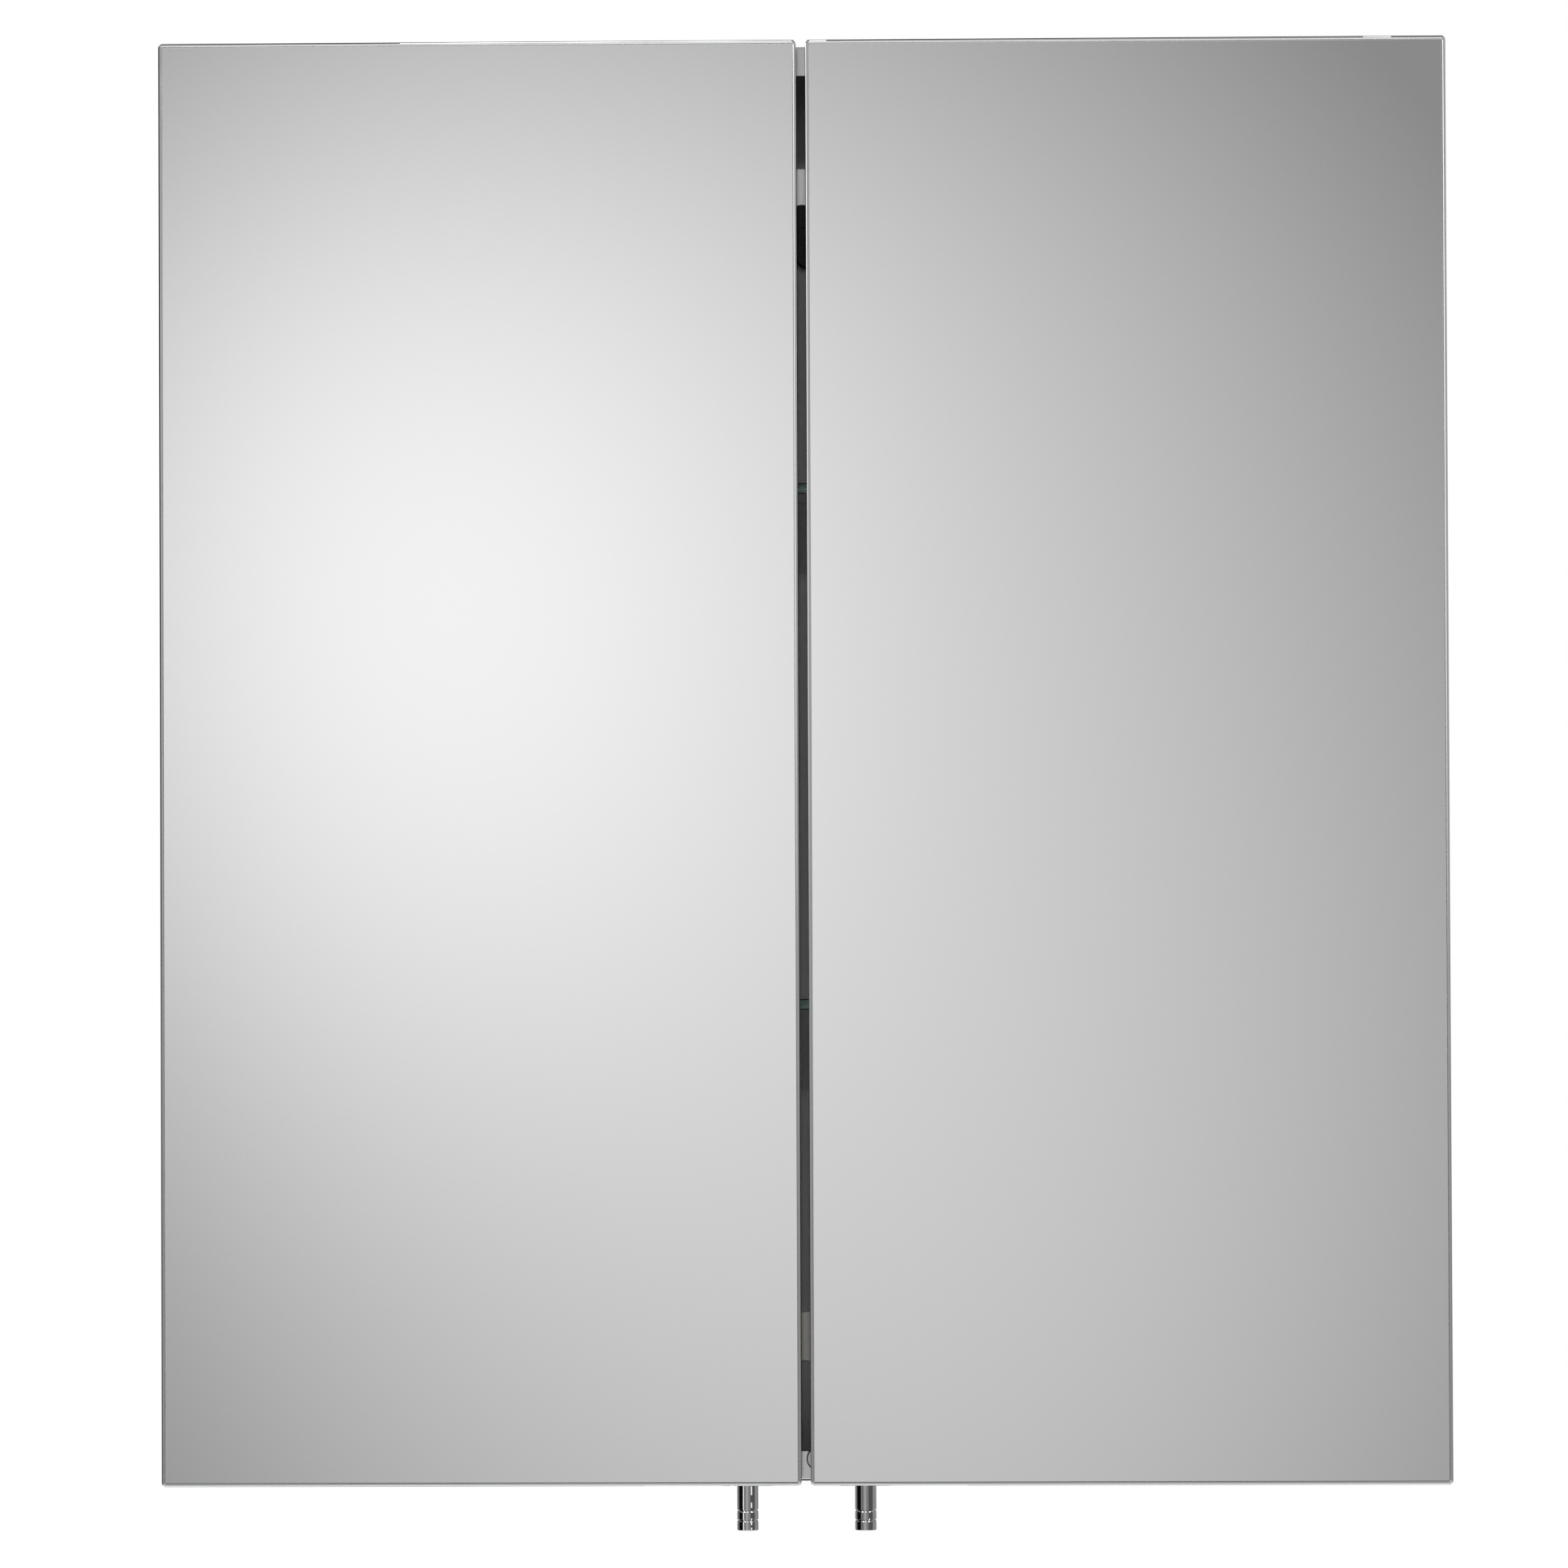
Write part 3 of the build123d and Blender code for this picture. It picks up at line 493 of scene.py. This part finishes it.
def stage_mesh(name, points, faces, material):
    """A stage object that neither the camera nor shadows show."""
    mesh = bpy.data.meshes.new(name)
    mesh.from_pydata(points, [], faces)
    mesh.materials.append(material)
    made = bpy.data.objects.new(name, mesh)
    bpy.context.scene.collection.objects.link(made)
    made.visible_camera = False
    made.visible_shadow = False
    return made


def arc_card(name, radius, turn, low, high, material, centre=(0, 0), steps=CARD_STEPS):
    """Upright curved card round a centre, over a range of turns."""
    points = []
    for step in range(steps + 1):
        angle = math.radians(turn[0] + (turn[1] - turn[0]) * step / steps)
        place = (centre[0] + radius * math.sin(angle), centre[1] - radius * math.cos(angle))
        points += [(*place, low), (*place, high)]
    faces = [(2 * step, 2 * step + 2, 2 * step + 3, 2 * step + 1) for step in range(steps)]
    return stage_mesh(name, points, faces, material)


def level_card(name, left, right, front, rear, height, material):
    """Flat card that faces down, from left to right and from front to rear."""
    outline = ((left, front), (left, rear), (right, rear), (right, front))
    corners = [(x, y, height) for x, y in outline]
    return stage_mesh(name, corners, [(0, 1, 2, 3)], material)


def upright_card(name, across, front, rear, low, high, material):
    """Flat upright card that faces sideways, from front to rear and from low to high."""
    outline = ((front, low), (rear, low), (rear, high), (front, high))
    corners = [(across, y, z) for y, z in outline]
    return stage_mesh(name, corners, [(0, 1, 2, 3)], material)


def world_box(piece):
    """Lowest and highest corner of one piece."""
    corners = [piece.matrix_world @ Vector(corner) for corner in piece.bound_box]
    return Vector(map(min, zip(*corners))), Vector(map(max, zip(*corners)))


def knob_cards(side, materials):
    """The small cards close round one knob, which follow it."""
    knob = nodes[f"knob_{side}"]
    low, high = world_box(knob)
    centre = (low + high) / 2
    top = high.z - KNOB_CARD_AIR
    foot = top - KNOB_CARD_DROP
    cards = []

    bands = (*KNOB_CARDS, (*KNOB_STREAK_TURN, KNOB_STREAK[side]))
    for number, (*turn, strength) in enumerate(bands):
        name = f"knob_card_{side}_{number}"
        made = card_material(name, strength)
        cards.append(arc_card(name, KNOB_CARD_RADIUS, turn, foot, top, made, centre, KNOB_CARD_STEPS))

    radius = KNOB_CARD_RADIUS - KNOB_GLINT_GAP
    made = materials["bright_card"]
    for number, (start, end) in enumerate(KNOB_GLINTS[side]):
        name = f"knob_glint_{side}_{number}"
        heights = (top - end, top - start)
        cards.append(arc_card(name, radius, KNOB_GLINT_TURN, *heights, made, centre, KNOB_CARD_STEPS))

    front, rear = (centre.y + depth for depth in GROOVE_GLINT_DEPTH)
    level = high.z - GROOVE_GLINT_AIR
    made = materials["groove_glint"]
    for number, (left, right) in enumerate(GROOVE_GLINTS):
        name = f"groove_glint_{side}_{number}"
        cards.append(level_card(name, centre.x + left, centre.x + right, front, rear, level, made))

    for card in cards:
        card.parent = knob
    return cards


def rim_cards(side, materials):
    """Thin cards a millimetre or two off one door, which draw the lines of its rims and follow it."""
    pan = nodes[f"door_pan_{side}"]
    (left, front, bottom), (right, _, top) = world_box(pan)
    rear = front + RIM_FLAG_BACK
    black, dim = materials["black_flag"], materials["dim_flag"]
    under = (left, -BOTTOM_FLAG_CLEAR) if side == "left" else (BOTTOM_FLAG_CLEAR, right)
    top_front = front - TOP_FLAG_REACH
    bottom_front = front + BOTTOM_FLAG_BACK
    cards = [
        level_card(f"top_flag_{side}", left, right, top_front, rear, top + RIM_AIR, black),
        level_card(f"bottom_flag_{side}", *under, bottom_front, rear, bottom - RIM_AIR, dim),
    ]
    if side == "left":
        across = left - RIM_AIR
        side_front = front - SIDE_FLAG_REACH
        cards.append(upright_card("side_rim_flag", across, side_front, rear, bottom, top, black))

    far, near = (front - reach for reach in RIM_CARD_REACH)
    height = top + RIM_CARD_RISE
    for start, end in RIM_CARDS:
        if left < start < right:
            name = f"rim_card_{side}_{round(start * 1000)}"
            cards.append(level_card(name, start, end, far, near, height, materials["rim_card"]))

    for card in cards:
        card.parent = pan
    return cards


def gap_flag(material):
    """Black card under the cabinet's front edge, at the foot of the gap between the doors."""
    low, _ = world_box(nodes["bottom_panel"])
    front = low.y - GAP_FLAG_REACH
    rear = low.y + GAP_FLAG_BACK
    return level_card("gap_flag", -GAP_FLAG_HALF, GAP_FLAG_HALF, front, rear, low.z - RIM_AIR, material)


def reflections():
    """The lit card that the mirrors show, and the cards that draw the edges of the metal."""
    reach = (-CARD_REACH, CARD_REACH)
    arc_card("front_card", CARD_RADIUS, reach, CARD_LOW, CARD_HIGH, front_card_material())

    materials = {name: card_material(name, level) for name, level in CARD_LEVELS.items()}
    groove_tree = materials["groove_glint"].node_tree
    see_through(groove_tree, rear_side(groove_tree))
    grey = graded_card_material("side_flag", *REAR_FLAG_LEVELS, *REAR_FLAG_LEVEL_RANGE)
    ceiling = card_material("ceiling", CARD_TOP)
    start, end = REAR_FLAG_TURN
    cards = [
        arc_card("rear_flag_left", REAR_FLAG_RADIUS, (-end, -start), *REAR_FLAG_HEIGHTS, grey),
        arc_card("rear_flag_right", REAR_FLAG_RADIUS, (start, end), *REAR_FLAG_HEIGHTS, grey),
        level_card("ceiling", -CARD_RADIUS, CARD_RADIUS, -CARD_RADIUS, CEILING_REAR, CARD_HIGH, ceiling),
        *knob_cards("left", materials),
        *knob_cards("right", materials),
        *rim_cards("left", materials),
        *rim_cards("right", materials),
        gap_flag(materials["black_flag"]),
    ]
    for card in cards:
        card.visible_diffuse = False
        card.visible_transmission = False


def lamps():
    """A high soft key, a small front lamp over the camera and a weak lamp behind."""
    middle = (cad_box[0] + cad_box[1]) / 2
    for name, (place, size, level) in LAMPS.items():
        beam = middle - Vector(place)
        lamp = bpy.data.lights.new(name, "AREA")
        lamp.size = size
        lamp.energy = math.pi**2 * level * beam.length**2
        made = bpy.data.objects.new(name, lamp)
        bpy.context.scene.collection.objects.link(made)
        made.location = place
        made.rotation_mode = "QUATERNION"
        made.rotation_quaternion = beam.to_track_quat("-Z", "Y")
        made.visible_camera = False
        made.visible_glossy = False
        made.visible_transmission = False


def room():
    """White surroundings for the camera, for metal and for glass, dimmer for matt surfaces."""
    world = bpy.data.worlds.new("room")
    bpy.context.scene.world = world
    world.use_nodes = True
    tree = world.node_tree
    ray = tree.nodes.new("ShaderNodeLightPath")
    seen = math_node(tree, "MAXIMUM", ray.outputs["Is Camera Ray"], ray.outputs["Is Glossy Ray"])
    seen = math_node(tree, "MAXIMUM", seen, ray.outputs["Is Transmission Ray"])
    background = tree.nodes["Background"]
    background.inputs["Color"].default_value = (1, 1, 1, 1)
    link(tree, remap(tree, seen, ROOM_FILL, ROOM_WHITE), background.inputs["Strength"])


def floor():
    """Plain pale floor far below, one-sided, fading into the white room at its rim."""
    made, tree, shader = surface("floor", Roughness=0.9)
    shader.inputs["Base Color"].default_value = (0.86, 0.86, 0.855, 1)
    away = add_node(tree, "ShaderNodeVectorMath", operation="LENGTH")
    link(tree, object_position(tree), away.inputs[0])
    fade = remap(tree, away.outputs["Value"], 0.0, 1.0, *FLOOR_FADE)
    see_through(tree, math_node(tree, "MAXIMUM", fade, rear_side(tree)))
    turns = [2 * math.pi * side / FLOOR_SIDES for side in range(FLOOR_SIDES)]
    rim = [(FLOOR_RADIUS * math.cos(turn), FLOOR_RADIUS * math.sin(turn), 0) for turn in turns]
    disc = stage_mesh("floor", rim, [tuple(range(FLOOR_SIDES))], made)
    disc.location.z = FLOOR_Z
    disc.visible_camera = True
    disc.visible_shadow = True


def camera():
    """The photograph's viewpoint."""
    data = bpy.data.cameras.new("camera")
    data.lens = CAMERA_LENS
    data.sensor_width = SENSOR_WIDTH
    made = bpy.data.objects.new("camera", data)
    bpy.context.scene.collection.objects.link(made)
    made.location = CAMERA_AT
    made.rotation_mode = "QUATERNION"
    look = (CAMERA_AIM - CAMERA_AT).to_track_quat("-Z", "Y")
    made.rotation_quaternion = look @ Quaternion((0, 0, 1), CAMERA_ROLL)
    bpy.context.scene.camera = made


finish_nodes()
camera()
room()
floor()
reflections()
lamps()
bpy.context.scene.view_settings.view_transform = "Standard"
